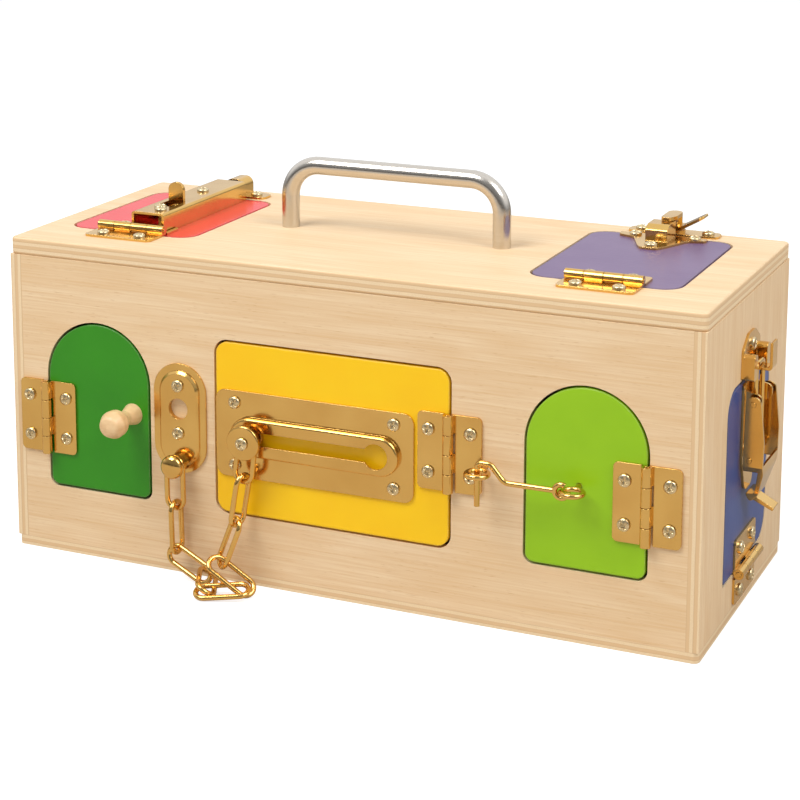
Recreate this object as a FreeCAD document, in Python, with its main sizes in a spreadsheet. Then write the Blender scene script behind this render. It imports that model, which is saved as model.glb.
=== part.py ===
import FreeCAD, Part
import math
import os
import Sketcher

# Wooden busy box: a glued plywood case with a bent steel handle and six painted doors,
# each held shut by a different small brass lock. X runs along the front, Y to the back,
# Z up, and the origin is the middle of the underside. Sizes are in millimetres.

V = FreeCAD.Vector
Z_AXIS = V(0, 0, 1)
doc = FreeCAD.newDocument("BusyBox")

# Driving sizes

SIZES = {
    # plywood case
    "box_length": 355, "box_depth": 150, "box_height": 160,
    "top_ply": 8.5, "bottom_ply": 5, "wall_ply": 6,
    "door_gap": 1.2, "door_bottom": 35.3, "door_height": 84.7,
    "arch_width": 56.4, "green_left": -156.4, "lime_left": 95.8,
    "yellow_left": -62.2, "yellow_width": 120.4, "yellow_corner": 6,
    "red_left": -163.4, "red_width": 69, "purple_left": 83, "purple_width": 71,
    "lid_front": -42.4, "red_reach": 93.5, "purple_reach": 101, "lid_corner": 9,
    "blue_front": -35.4, "blue_width": 75, "blue_bottom": 22.2, "blue_height": 89.5,
    "blue_corner": 12,
    # hinges
    "leaf_length": 37, "leaf_reach": 15.8, "leaf_ply": 1.2, "leaf_corner": 2.5,
    "knuckle_radius": 2.5, "pin_radius": 1.25, "pin_play": 0.06, "knuckle_lift": 2.9,
    "knuckle_gap": 0.3, "leaf_screw_pitch": 20.5, "leaf_screw_reach": 10.4,
    "side_hinge_level": 70.3, "yellow_hinge_level": 81.3,
    "red_hinge_place": -126.5, "purple_hinge_place": 120.4, "blue_hinge_place": 0,
    # screws
    "screw_head": 3.1, "screw_crown": 1.9, "screw_shank": 1.2, "screw_reach": 5,
    "screw_play": 0.08,
    # carrying handle
    "handle_span": 114, "handle_place": -4, "handle_back": 4, "handle_radius": 4.5,
    "handle_rise": 32.5, "handle_bend": 16,
    # wooden stops and magnet
    "stop_length": 18, "stop_width": 10, "stop_ply": 6, "stop_bite": 4, "stop_play": 0.3,
    "magnet_length": 30, "magnet_width": 12, "magnet_depth": 9, "strike_ply": 1,
    # chain lock
    "anchor_place": -82, "anchor_level": 79, "anchor_width": 28.5, "anchor_height": 55,
    "anchor_ply": 1, "anchor_dome": 1.8, "anchor_rim": 3.5, "stud_drop": 22,
    "stud_head": 5.8, "stud_post": 2.4,
    "track_left": -62.0, "track_bottom": 54, "track_length": 103, "track_height": 43,
    "track_ply": 1, "track_rise": 4.2, "track_rib": 8.5, "slot_width": 6.6,
    "slot_left": -42.1, "slot_run": 65, "slot_level": 75.2, "keyhole_radius": 6.2,
    "button_radius": 8.5, "button_play": 0.3,
    "link_length": 28, "link_width": 11.6, "link_wire": 1.3,
    # hook and eye
    "eye_ring": 5, "eye_wire": 1.25, "eye_stand": 10, "frame_eye_place": 76,
    "frame_eye_level": 76.6, "door_eye_place": 121, "door_eye_level": 74.4,
    "hook_wire": 1.3, "hook_loop": 3.1, "hook_pin": 15,
    # slide bolt
    "bolt_place": -120, "bolt_front": -38.6, "bolt_length": 88.5, "bolt_width": 18.4,
    "bolt_height": 10.2, "bolt_ply": 1.2, "bolt_radius": 3.9, "bolt_play": 0.3,
    "bolt_throw": 12, "bolt_slot_front": -22, "tab_width": 8.6, "tab_rise": 10,
    "tab_ply": 2, "housing_screw_front": 13, "housing_screw_back": 57.5,
    "keeper_reach": 12, "keeper_foot": 12,
    # cam latch on the purple lid
    "cam_place": 121.3, "cam_back": 67.6, "cam_plate": 1.2, "cam_post": 2.1,
    "cam_hub": 5.2, "cam_thumb": 16, "jaw_width": 11, "jaw_depth": 15, "jaw_height": 9,
    "jaw_wall": 1.3, "cam_play": 0.3,
    # draw latch on the blue door
    "latch_place": 0, "latch_width": 30, "latch_ply": 1.3, "latch_pivot_level": 103,
    "latch_pivot_stand": 6.2, "latch_pivot": 1.3, "lever_length": 50,
    "bail_drop": 27, "bail_wire": 1.25, "bail_span": 12.5, "bail_stand": 4.9,
    "bail_length": 43.5, "hook_stand": 12, "hook_rise": 12,
}
sheet = doc.addObject("Spreadsheet::Sheet", "Sizes")
for row, (name, value) in enumerate(SIZES.items(), 1):
    sheet.set("A%d" % row, name)
    sheet.set("B%d" % row, str(value))
    sheet.setAlias("B%d" % row, name)
doc.recompute()


def size(name):
    """A driving size as the sheet holds it."""
    return float(sheet.get(name))


PARTS = []


# Helpers for bodies, sketches and features

def body(label):
    """A new body that becomes one piece of the box."""
    made = doc.addObject("PartDesign::Body", label)
    made.Label = label
    PARTS.append(made)
    return made


def sketch(owner, name, role="XY_Plane", lift=None):
    """A sketch on one origin plane of its body, lifted along its normal if asked."""
    made = owner.newObject("Sketcher::SketchObject", owner.Label + "_" + name)
    flat = [one for one in owner.Origin.OriginFeatures if one.Role == role][0]
    made.AttachmentSupport = (flat, [""])
    made.MapMode = "FlatFace"
    if lift is not None:
        made.setExpression("AttachmentOffset.Base.z", lift)
    return made


def rectangle(draw, left, bottom, width, height):
    """A rectangle whose place and size are constraints tied to the sheet."""
    first = draw.GeometryCount
    corners = [V(0, 0, 0), V(9, 0, 0), V(9, 9, 0), V(0, 9, 0)]
    for step in range(4):
        draw.addGeometry(Part.LineSegment(corners[step], corners[(step + 1) % 4]), False)
    for step in range(4):
        draw.addConstraint(Sketcher.Constraint(
            "Coincident", first + step, 2, first + (step + 1) % 4, 1))
    for step, rule in enumerate(("Horizontal", "Vertical", "Horizontal", "Vertical")):
        draw.addConstraint(Sketcher.Constraint(rule, first + step))
    for rule, ends, tie in (
            ("DistanceX", (-1, 1, first, 1), left), ("DistanceY", (-1, 1, first, 1), bottom),
            ("DistanceX", (first, 1, first, 2), width),
            ("DistanceY", (first + 1, 1, first + 1, 2), height)):
        place = draw.addConstraint(Sketcher.Constraint(rule, *ends, 1))
        draw.setExpression("Constraints[%d]" % place, tie)


def loop(draw, corners):
    """A closed outline through (x, y, radius) corners, each rounded by a tangent arc."""
    starts, ends, arcs = [], [], []
    count = len(corners)
    for here in range(count):
        x, y, radius = corners[here]
        point = V(x, y, 0)
        before = V(*corners[here - 1][:2], 0) - point
        after = V(*corners[(here + 1) % count][:2], 0) - point
        before.normalize()
        after.normalize()
        half = before.getAngle(after) / 2
        if radius <= 0 or half > math.pi / 2 - 1e-4:
            starts.append(point)
            ends.append(point)
            continue
        cut = radius / math.tan(half)
        middle = (before + after).normalize() * (radius / math.sin(half))
        starts.append(point + before * cut)
        ends.append(point + after * cut)
        centre = point + middle
        top = centre - middle * (radius / middle.Length)
        turn = before.cross(after).z
        first, last = (starts[-1], ends[-1]) if turn < 0 else (ends[-1], starts[-1])
        arcs.append(Part.Arc(first, top, last))
    for here in range(count):
        tail, head = ends[here], starts[(here + 1) % count]
        if (head - tail).Length > 1e-5:
            draw.addGeometry(Part.LineSegment(tail, head), False)
    for arc in arcs:
        draw.addGeometry(arc, False)


def way(draw, corners):
    """An open path through (x, y, radius) corners, each bend a tangent arc."""
    last = V(*corners[0][:2], 0)
    for here in range(1, len(corners) - 1):
        x, y, radius = corners[here]
        point = V(x, y, 0)
        before = (V(*corners[here - 1][:2], 0) - point).normalize()
        after = (V(*corners[here + 1][:2], 0) - point).normalize()
        half = before.getAngle(after) / 2
        cut = radius / math.tan(half)
        inward = (before + after).normalize()
        near, far = point + before * cut, point + after * cut
        top = point + inward * (radius / math.sin(half) - radius)
        draw.addGeometry(Part.LineSegment(last, near), False)
        if before.cross(after).z > 0:
            draw.addGeometry(Part.Arc(far, top, near), False)
        else:
            draw.addGeometry(Part.Arc(near, top, far), False)
        last = far
    draw.addGeometry(Part.LineSegment(last, V(*corners[-1][:2], 0)), False)


def wire(owner, corners, radius, role="XZ_Plane", start_role="XY_Plane"):
    """Round rod of one radius swept along a path of straight runs and bends."""
    spine = sketch(owner, "path", role)
    way(spine, corners)
    disc = sketch(owner, "section", start_role)
    if start_role == "XY_Plane":
        disc.AttachmentOffset = FreeCAD.Placement(V(0, 0, corners[0][1]), FreeCAD.Rotation())
        circles(disc, radius, [(corners[0][0], 0)])
    else:
        disc.AttachmentOffset = FreeCAD.Placement(V(0, 0, corners[0][0]), FreeCAD.Rotation())
        circles(disc, radius, [(0, corners[0][1])])
    doc.recompute()
    made = owner.newObject("PartDesign::AdditivePipe", owner.Label + "_sweep")
    made.Profile = disc
    made.Spine = spine
    doc.recompute()
    return made


def circles(draw, radius, points):
    """Circles of one radius, tied to the sheet, at worked-out points."""
    for x, y in points:
        made = draw.addGeometry(Part.Circle(V(x, y, 0), Z_AXIS, 1), False)
        place = draw.addConstraint(Sketcher.Constraint("Radius", made, 1))
        draw.setExpression("Constraints[%d]" % place, radius)
        for rule, away in (("DistanceX", x), ("DistanceY", y)):
            draw.addConstraint(Sketcher.Constraint(rule, -1, 1, made, 3, away))


def pad(owner, draw, length, back=False, middle=False):
    """Adds material over a sketch for a length tied to the sheet."""
    made = owner.newObject("PartDesign::Pad", draw.Label + "_pad")
    made.Profile = draw
    if isinstance(length, str):
        made.setExpression("Length", length)
    else:
        made.Length = length
    made.Reversed = back
    if middle:
        made.SideType = "Symmetric"
    doc.recompute()
    return made


def pocket(owner, draw, length=None, back=False):
    """Cuts a sketch out, right through both ways unless a depth is given."""
    before = owner.Shape.Volume
    made = owner.newObject("PartDesign::Pocket", draw.Label + "_cut")
    made.Profile = draw
    if length is None:
        made.Type = "ThroughAll"
        made.SideType = "Symmetric"
    else:
        made.setExpression("Length", length)
        made.Reversed = back
    doc.recompute()
    if owner.Shape.Volume >= before - 1e-6:
        raise ValueError(draw.Label + " cuts nothing")
    return made


def spin(owner, draw, axis="V_Axis"):
    """Turns a half profile once round a sketch axis."""
    made = owner.newObject("PartDesign::Revolution", draw.Label + "_turn")
    made.Profile = draw
    made.ReferenceAxis = (draw, [axis])
    made.Angle = 360
    doc.recompute()
    return made


def soften(owner, picks, radius, kind="Fillet"):
    """Rounds or bevels the edges of the body that a test picks."""
    names = ["Edge%d" % (number + 1) for number, edge in enumerate(owner.Shape.Edges)
             if picks(edge)]
    under = owner.Tip
    made = owner.newObject("PartDesign::" + kind, owner.Label + "_" + kind.lower())
    made.Base = (under, names)
    made.setExpression("Radius" if kind == "Fillet" else "Size", radius)
    doc.recompute()
    return made


def upright(edge):
    """True for a straight edge along local Z."""
    if not isinstance(edge.Curve, Part.Line):
        return False
    return abs(edge.tangentAt(edge.FirstParameter).z) > 0.999


# Faces of the case: local x and y lie in the face and local z points out of it

FACES = {
    "front": (FreeCAD.Rotation(V(1, 0, 0), 90), "X", "Z"),
    "top": (FreeCAD.Rotation(), "X", "Y"),
    "right": (FreeCAD.Rotation(V(1, 1, 1), 120), "Y", "Z"),
}
SURFACE = {"front": ("y", "-Sizes.box_depth / 2", -1), "top": ("z", "Sizes.box_height", 1),
           "right": ("x", "Sizes.box_length / 2", 1)}


def mount(made, face, across="0", along="0", out="0", turn=0):
    """Sets a piece on a face of the case, with its place tied to the sheet."""
    rotation, first, second = FACES[face]
    made.Placement = FreeCAD.Placement(
        V(), rotation.multiply(FreeCAD.Rotation(Z_AXIS, turn)))
    letter, level, sign = SURFACE[face]
    made.setExpression("Placement.Base." + first.lower(), across)
    made.setExpression("Placement.Base." + second.lower(), along)
    made.setExpression("Placement.Base." + letter,
                       "%s %s (%s)" % (level, "+" if sign > 0 else "-", out))


def spot(face, across, along, out=0, turn=0):
    """The same place as a placement, for pieces copied from one master."""
    rotation, first, second = FACES[face]
    half_depth, half_length = size("box_depth") / 2, size("box_length") / 2
    base = {"front": V(across, -half_depth - out, along),
            "top": V(across, along, size("box_height") + out),
            "right": V(half_length + out, across, along)}[face]
    return FreeCAD.Placement(base, rotation.multiply(FreeCAD.Rotation(Z_AXIS, turn)))


# Doors: the face each lies in, its hinge line, and the way that the door lies from it

gap = size("door_gap")
lid_front = size("lid_front")
green_right = size("green_left") + size("arch_width")
lime_right = size("lime_left") + size("arch_width")
yellow_right = size("yellow_left") + size("yellow_width")
HINGES = {
    "green": ("front", size("green_left") - gap / 2, size("side_hinge_level"), 0),
    "yellow": ("front", yellow_right + gap / 2, size("yellow_hinge_level"), 180),
    "lime": ("front", lime_right + gap / 2, size("side_hinge_level"), 180),
    "red": ("top", size("red_hinge_place"), lid_front - gap / 2, 90),
    "purple": ("top", size("purple_hinge_place"), lid_front - gap / 2, 90),
    "blue": ("right", size("blue_hinge_place"), size("blue_bottom") - gap / 2, 90),
}


def turned(x, y, degrees):
    """A point turned about the local origin."""
    angle = math.radians(degrees)
    return (x * math.cos(angle) - y * math.sin(angle),
            x * math.sin(angle) + y * math.cos(angle))


def leaf_screws(color, on_door):
    """The two screw places of one hinge leaf, in the coordinates of its face."""
    face, across, along, turn = HINGES[color]
    spots = []
    for side in (-1, 1):
        x, y = turned(size("leaf_screw_reach"), side * size("leaf_screw_pitch") / 2,
                      turn if on_door else turn + 180)
        spots.append((across + x, along + y))
    return spots


anchor_x, anchor_z = size("anchor_place"), size("anchor_level")
track_mid_z = size("track_bottom") + size("track_height") / 2
track_mid_x = size("track_left") + size("track_length") / 2
track_screw_x = size("track_length") / 2 - 10
track_screw_z = size("track_height") / 2 - 6
cam_x, cam_y = size("cam_place"), size("cam_back")
purple_edge = lid_front + size("purple_reach")
red_edge = lid_front + size("red_reach")
keeper_y = red_edge + gap + 1.5 + size("keeper_reach") / 2
latch_y = size("latch_place")
blue_top = size("blue_bottom") + size("blue_height")
keeper_foot_x = size("bolt_radius") + size("bolt_play") + size("bolt_ply") + 5.1
strike_level = blue_top + gap + 0.8
SCREWS = {
    "frame": ([("front", *at) for name in ("green", "yellow", "lime")
               for at in leaf_screws(name, False)]
              + [("top", *at) for name in ("red", "purple") for at in leaf_screws(name, False)]
              + [("right", *at) for at in leaf_screws("blue", False)]
              + [("front", anchor_x, anchor_z + 16.8), ("front", anchor_x, anchor_z - 7)]
              + [("top", size("bolt_place") + keeper_foot_x, keeper_y),
                 ("top", size("bolt_place") - keeper_foot_x, keeper_y)]
              + [("top", cam_x - 17, cam_y), ("top", cam_x + 17, cam_y)]
              + [("right", latch_y, strike_level + 14)]),
    "green": [("front", *at) for at in leaf_screws("green", True)],
    "yellow": ([("front", *at) for at in leaf_screws("yellow", True)]
               + [("front", track_mid_x + i * track_screw_x, track_mid_z + j * track_screw_z)
                  for i in (-1, 1) for j in (-1, 1)]),
    "lime": [("front", *at) for at in leaf_screws("lime", True)],
    "red": ([("top", *at) for at in leaf_screws("red", True)]
            + [("top", size("bolt_place"), size("bolt_front") + at)
               for at in (size("housing_screw_front"), size("housing_screw_back"))]),
    "purple": ([("top", *at) for at in leaf_screws("purple", True)]
               + [("top", cam_x - 16, purple_edge - 5), ("top", cam_x + 14, purple_edge - 5),
                  ("top", cam_x - 2.3, purple_edge - 25)]),
    "blue": ([("right", *at) for at in leaf_screws("blue", True)]
             + [("right", latch_y - 8, blue_top - 33), ("right", latch_y + 8, blue_top - 33)]),
}
# height of each screw's seat above the wood: one leaf unless something thicker lies under it
SEATS = {}
for at in (("front", anchor_x, anchor_z + 16.8), ("front", anchor_x, anchor_z - 7)):
    SEATS[at] = size("anchor_ply") + size("anchor_dome")
for at in SCREWS["yellow"][2:]:
    SEATS[at] = size("track_ply")
for at in SCREWS["red"][2:]:
    SEATS[at] = size("bolt_height")
for at in SCREWS["purple"][2:] + SCREWS["frame"][-3:-1]:
    SEATS[at] = size("cam_plate")
for at in SCREWS["frame"][-5:-3]:
    SEATS[at] = size("bolt_ply")
for at in SCREWS["blue"][2:] + SCREWS["frame"][-1:]:
    SEATS[at] = size("latch_ply")


def pilots(face, *owners):
    """Pilot-hole places on one face for the screws of the named pieces."""
    return [at[1:] for name in owners for at in SCREWS[name] if at[0] == face]


# Plywood case: bottom, ends, back, front and top, glued edge to face

bottom = body("bottom_panel")
draw = sketch(bottom, "outline")
rectangle(draw, "-Sizes.box_length / 2", "-Sizes.box_depth / 2", "Sizes.box_length",
          "Sizes.box_depth")
pad(bottom, draw, "Sizes.bottom_ply")
soften(bottom, upright, "3")

WALL_LEVEL = "Sizes.bottom_ply"
WALL_HEIGHT = "Sizes.box_height - Sizes.top_ply - Sizes.bottom_ply"


def door_outline(draw, name, grow=0.0):
    """The outline of one door, or of its opening when grown by the gap."""
    low = size("door_bottom") - grow
    high = size("door_bottom") + size("door_height") + grow
    if name in ("green", "lime"):
        left = size(name + "_left") - grow
        right = left + size("arch_width") + 2 * grow
        arch = (right - left) / 2
        foot = 4 + grow
        loop(draw, [(left, low, foot), (right, low, foot), (right, high, arch - 1e-3),
                    (left, high, arch - 1e-3)])
        return
    if name == "yellow":
        left, right = size("yellow_left") - grow, yellow_right + grow
        corner = size("yellow_corner") + grow
    elif name == "blue":
        left = size("blue_front") - grow
        right = left + size("blue_width") + 2 * grow
        low, high = size("blue_bottom") - grow, blue_top + grow
        corner = size("blue_corner") + grow
        loop(draw, [(left, low, 1), (right, low, corner), (right, high, corner),
                    (left, high, corner)])
        return
    else:
        left = size(name + "_left") - grow
        right = left + size(name + "_width") + 2 * grow
        low = lid_front - grow
        high = lid_front + size(name + "_reach") + grow
        corner = size("lid_corner") + grow
    loop(draw, [(left, low, corner), (right, low, corner), (right, high, corner),
                (left, high, corner)])


def panel(label, face, ply, doors, owners, outline):
    """A flat board of the case with its door openings and pilot holes."""
    made = body(label)
    flat = sketch(made, "outline")
    rectangle(flat, *outline)
    pad(made, flat, ply, back=True)
    for name in doors:
        cut = sketch(made, name + "_opening")
        door_outline(cut, name, gap)
        pocket(made, cut)
    holes = sketch(made, "pilots")
    circles(holes, "Sizes.screw_shank + Sizes.screw_play", pilots(face, *owners))
    pocket(made, holes, ply)
    mount(made, face)
    return made


front = panel("front_panel", "front", "Sizes.wall_ply", ("green", "yellow", "lime"), ("frame",),
              ("-Sizes.box_length / 2 + Sizes.wall_ply", WALL_LEVEL,
               "Sizes.box_length - 2 * Sizes.wall_ply", WALL_HEIGHT))
eyes = sketch(front, "eye_holes")
circles(eyes, "Sizes.eye_wire + Sizes.screw_play",
        [(size("frame_eye_place"), size("frame_eye_level"))])
circles(eyes, "Sizes.stud_post / 2 + Sizes.screw_play",
        [(anchor_x, anchor_z - size("stud_drop"))])
pocket(front, eyes, "Sizes.wall_ply")

right = panel("right_panel", "right", "Sizes.wall_ply", ("blue",), ("frame",),
              ("-Sizes.box_depth / 2", WALL_LEVEL, "Sizes.box_depth", WALL_HEIGHT))

top = panel("top_panel", "top", "Sizes.top_ply", ("red", "purple"), ("frame",),
            ("-Sizes.box_length / 2", "-Sizes.box_depth / 2", "Sizes.box_length",
             "Sizes.box_depth"))
legs = sketch(top, "handle_holes")
circles(legs, "Sizes.screw_shank + 0.8",
        [(size("handle_place") + side * size("handle_span") / 2, size("handle_back"))
         for side in (-1, 1)])
pocket(top, legs, "Sizes.top_ply")
outer = size("box_length") / 2
soften(top, lambda edge: upright(edge) and abs(abs(edge.CenterOfMass.x) - outer) < 0.01,
       "3")


def on_top_rim(edge):
    """True for the outer edges of the board's upper face."""
    box = edge.BoundBox
    flat = box.ZMax > -0.01
    side = (abs(abs(edge.CenterOfMass.x) - outer) < 2
            or abs(abs(edge.CenterOfMass.y) - size("box_depth") / 2) < 2)
    return flat and box.ZMin > -0.01 and side


soften(top, on_top_rim, "1.2")

left = body("left_panel")
draw = sketch(left, "outline")
rectangle(draw, "-Sizes.box_depth / 2", WALL_LEVEL, "Sizes.box_depth", WALL_HEIGHT)
pad(left, draw, "Sizes.wall_ply")
mount(left, "right")
left.setExpression("Placement.Base.x", "-Sizes.box_length / 2")

back = body("back_panel")
draw = sketch(back, "outline")
rectangle(draw, "-Sizes.box_length / 2 + Sizes.wall_ply", WALL_LEVEL,
          "Sizes.box_length - 2 * Sizes.wall_ply", WALL_HEIGHT)
pad(back, draw, "Sizes.wall_ply")
mount(back, "front")
back.setExpression("Placement.Base.y", "Sizes.box_depth / 2")

# Carrying handle: one bent rod, held by a screw in each leg from inside the top

handle = body("carry_handle")
half = size("handle_span") / 2
rise, bend = size("handle_rise"), size("handle_bend")
wire(handle, [(-half, 0), (-half, rise, bend), (half, rise, bend), (half, 0)],
     "Sizes.handle_radius")
bores = sketch(handle, "screw_bores")
circles(bores, "Sizes.screw_shank + 0.8", [(-half, 0), (half, 0)])
pocket(handle, bores, "12", back=True)
mount(handle, "top", "Sizes.handle_place", "Sizes.handle_back")

# Masters: pieces that the box holds many times are made once and copied to their places

def master(label):
    """A body that is copied to several places and isn't a piece by itself."""
    made = body(label)
    PARTS.remove(made)
    return made


def group(label, source, places):
    """One piece made of separate solids: a master's shape at each place."""
    solids = []
    for place in places:
        chosen, place = place if isinstance(place, tuple) else (source, place)
        one = chosen.Shape.copy()
        one.Placement = place.multiply(one.Placement)
        solids.append(one)
    made = doc.addObject("Part::Feature", label)
    made.Label = label
    made.Shape = Part.makeCompound(solids) if len(solids) > 1 else solids[0]
    PARTS.append(made)
    return made


def turning(label, corners, is_master=True):
    """A body turned round local Z from (radius, level) corners."""
    made = master(label) if is_master else body(label)
    half_profile = sketch(made, "profile", "XZ_Plane")
    loop(half_profile, [corner + (0,) if len(corner) == 2 else corner for corner in corners])
    spin(made, half_profile)
    return made


head, crown, shank = size("screw_head"), size("screw_crown"), size("screw_shank")


def round_head_screw(label, reach):
    """A round-headed wood screw whose head sits on local z = 0."""
    return turning(label, [(0, -reach), (shank * 0.4, -reach), (shank, -reach + 1.2),
                           (shank, 0), (head, 0), (head, crown * 0.35),
                           (head * 0.62, crown), (0, crown)])


wood_screw = round_head_screw("wood_screw", size("screw_reach"))
long_screw = round_head_screw("long_screw", size("screw_reach") + size("bolt_height"))


def screws(owner):
    """All the screws that one door, or the case, carries."""
    places = []
    for at in SCREWS[owner]:
        seat = SEATS.get(at, size("leaf_ply"))
        chosen = long_screw if seat == size("bolt_height") else wood_screw
        places.append((chosen, spot(at[0], at[1], at[2], seat)))
    return group("box_screws" if owner == "frame" else owner + "_screws", wood_screw, places)


for owner in SCREWS:
    screws(owner)

low = -size("top_ply")
leg_shank = shank + 0.7
handle_screw = turning("handle_screw", [(0, low - 2.2), (3.6, low - 2.2), (3.6, low),
                                        (leg_shank, low), (leg_shank, 9), (0, 9)])
group("handle_screws", handle_screw,
      [spot("top", size("handle_place") + side * half, size("handle_back"))
       for side in (-1, 1)])

# Stop blocks: small wooden blocks glued behind the case beside each door's free edge

stop = master("stop_block")
draw = sketch(stop, "outline")
rectangle(draw, "-Sizes.stop_length / 2", "-Sizes.stop_bite", "Sizes.stop_length",
          "Sizes.stop_width")
pad(stop, draw, "Sizes.stop_ply", back=True)
wall, lid = size("wall_ply"), size("top_ply")
door_top = size("door_bottom") + size("door_height")
middle_x = size("yellow_left") + 0.36 * size("yellow_width")
green_stop = size("door_bottom") + 14
STOPS = [("front", green_right + gap, green_stop, wall, -90),
         ("front", middle_x, door_top + gap, wall, 0),
         ("front", middle_x, size("door_bottom") - gap, wall, 180),
         ("front", size("lime_left") - gap, green_stop, wall, 90),
         ("top", size("red_left") + size("red_width") * 0.25, red_edge + gap, lid, 0),
         ("top", size("purple_left") + size("purple_width") * 0.2, purple_edge + gap, lid, 0),
         ("right", latch_y + 22, blue_top + gap, wall, 0)]
group("door_stops", stop, [spot(face, across, along, -ply, turn)
                           for face, across, along, ply, turn in STOPS])

# Hinges: two alike leaves of rolled brass sheet on one pin, the second turned half round

leaf = master("hinge_leaf")
draw = sketch(leaf, "outline")
length, leaf_far = size("leaf_length"), size("leaf_reach")
clear = size("knuckle_radius") + size("knuckle_gap") + 0.1
space = size("knuckle_gap")
knuckle = (length - 3 * space) / 4
corner = size("leaf_corner")
levels = [length / 2 - slot * (knuckle + space) for slot in range(4)]
loop(draw, [(leaf_far, -length / 2, corner), (leaf_far, length / 2, corner),
            (0, levels[0], 0), (0, levels[0] - knuckle, 0),
            (clear, levels[0] - knuckle, 0), (clear, levels[2], 0), (0, levels[2], 0),
            (0, levels[2] - knuckle, 0), (clear, levels[2] - knuckle, 0),
            (clear, -length / 2, 0)])
pad(leaf, draw, "Sizes.leaf_ply")
for slot in (0, 2):
    roll = sketch(leaf, "roll%d" % slot, "XZ_Plane")
    roll.AttachmentOffset = FreeCAD.Placement(V(0, 0, -levels[slot]), FreeCAD.Rotation())
    circles(roll, "Sizes.knuckle_radius", [(0, size("knuckle_lift"))])
    made = pad(leaf, roll, "(Sizes.leaf_length - 3 * Sizes.knuckle_gap) / 4")
bore = sketch(leaf, "bore", "XZ_Plane")
circles(bore, "Sizes.pin_radius + Sizes.pin_play", [(0, size("knuckle_lift"))])
pocket(leaf, bore)
holes = sketch(leaf, "screw_holes")
circles(holes, "Sizes.screw_shank + Sizes.screw_play",
        [(size("leaf_screw_reach"), side * size("leaf_screw_pitch") / 2) for side in (-1, 1)])
pocket(leaf, holes, "Sizes.leaf_ply", back=True)

pin_half, pin_r = length / 2 + 0.4, size("pin_radius")
hinge_pin = turning("hinge_pin", [(0, -pin_half), (pin_r, -pin_half), (pin_r, pin_half),
                                  (0, pin_half)])
pins = []
for color, (face, across, along, turn) in HINGES.items():
    group(color + "_door_leaf", leaf, [spot(face, across, along, 0, turn)])
    group(color + "_frame_leaf", leaf, [spot(face, across, along, 0, turn + 180)])
    lying = FreeCAD.Placement(V(0, 0, size("knuckle_lift")), FreeCAD.Rotation(V(1, 0, 0), 90))
    pins.append(spot(face, across, along, 0, turn).multiply(lying))
group("hinge_pins", hinge_pin, pins)

# Painted doors: boards cut from the same ply as the wall that they close


def door(color, face, ply, more=()):
    """One painted door with rounded edges, pilot holes and any further holes."""
    made = body(color + "_door")
    flat = sketch(made, "outline")
    door_outline(flat, color)
    pad(made, flat, ply, back=True)
    holes = sketch(made, "pilots")
    circles(holes, "Sizes.screw_shank + Sizes.screw_play", pilots(face, color))
    for radius, points in more:
        circles(holes, radius, points)
    pocket(made, holes, ply)
    mount(made, face)
    return made


knob_x, knob_z = green_right - 9, size("side_hinge_level") + 7
door("green", "front", "Sizes.wall_ply",
     [("Sizes.screw_shank + 0.5", [(knob_x, knob_z)])])
door("yellow", "front", "Sizes.wall_ply")
door("lime", "front", "Sizes.wall_ply",
     [("Sizes.eye_wire + Sizes.screw_play",
       [(size("door_eye_place"), size("door_eye_level"))])])
door("red", "top", "Sizes.top_ply")
door("purple", "top", "Sizes.top_ply")
door("blue", "right", "Sizes.wall_ply")

# Green door: turned knob with its screw tenon, and a magnet inside that holds a steel plate

knob = turning("green_knob", [(0, -4), (shank + 0.4, -4), (shank + 0.4, 0), (5.4, 0),
                              (4.6, 3), (3.6, 7), (4.4, 11), (6.6, 15, 2), (6.9, 19, 3),
                              (4.8, 23.5, 2.5), (0, 24.4)], False)
knob.Placement = spot("front", knob_x, knob_z)

strike_y = -size("box_depth") / 2 + size("wall_ply")
strike = body("green_strike")
draw = sketch(strike, "outline")
rectangle(draw, "-Sizes.magnet_width / 2", "-Sizes.magnet_length / 2", "Sizes.magnet_width",
          "Sizes.magnet_length")
pad(strike, draw, "Sizes.strike_ply", back=True)
magnet_x = green_right - size("magnet_width") / 2 - 1
magnet_z = size("door_bottom") + 52
strike.Placement = spot("front", magnet_x, magnet_z, -wall)

magnet = body("magnet_catch")
draw = sketch(magnet, "outline")
rectangle(draw, "-Sizes.magnet_width / 2", "-Sizes.magnet_length / 2",
          "2 * Sizes.magnet_width + 2 * Sizes.door_gap", "Sizes.magnet_length")
pad(magnet, draw, "Sizes.magnet_depth", back=True)
draw = sketch(magnet, "step")
rectangle(draw, "-Sizes.magnet_width / 2 - 1", "-Sizes.magnet_length / 2 - 1",
          "Sizes.magnet_width + 2 + Sizes.door_gap", "Sizes.magnet_length + 2")
pocket(magnet, draw, "Sizes.strike_ply + Sizes.stop_play", back=False)
magnet.Placement = spot("front", magnet_x, magnet_z, -wall)

# Chain lock: domed anchor plate and stud, slotted track with its sliding button, nine links


def stadium(draw, middle_x, middle_y, half_x, half_y):
    """A slot outline with full round ends about a middle point."""
    corner = min(half_x, half_y) - 1e-3
    loop(draw, [(middle_x - half_x, middle_y - half_y, corner),
                (middle_x + half_x, middle_y - half_y, corner),
                (middle_x + half_x, middle_y + half_y, corner),
                (middle_x - half_x, middle_y + half_y, corner)])


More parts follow.
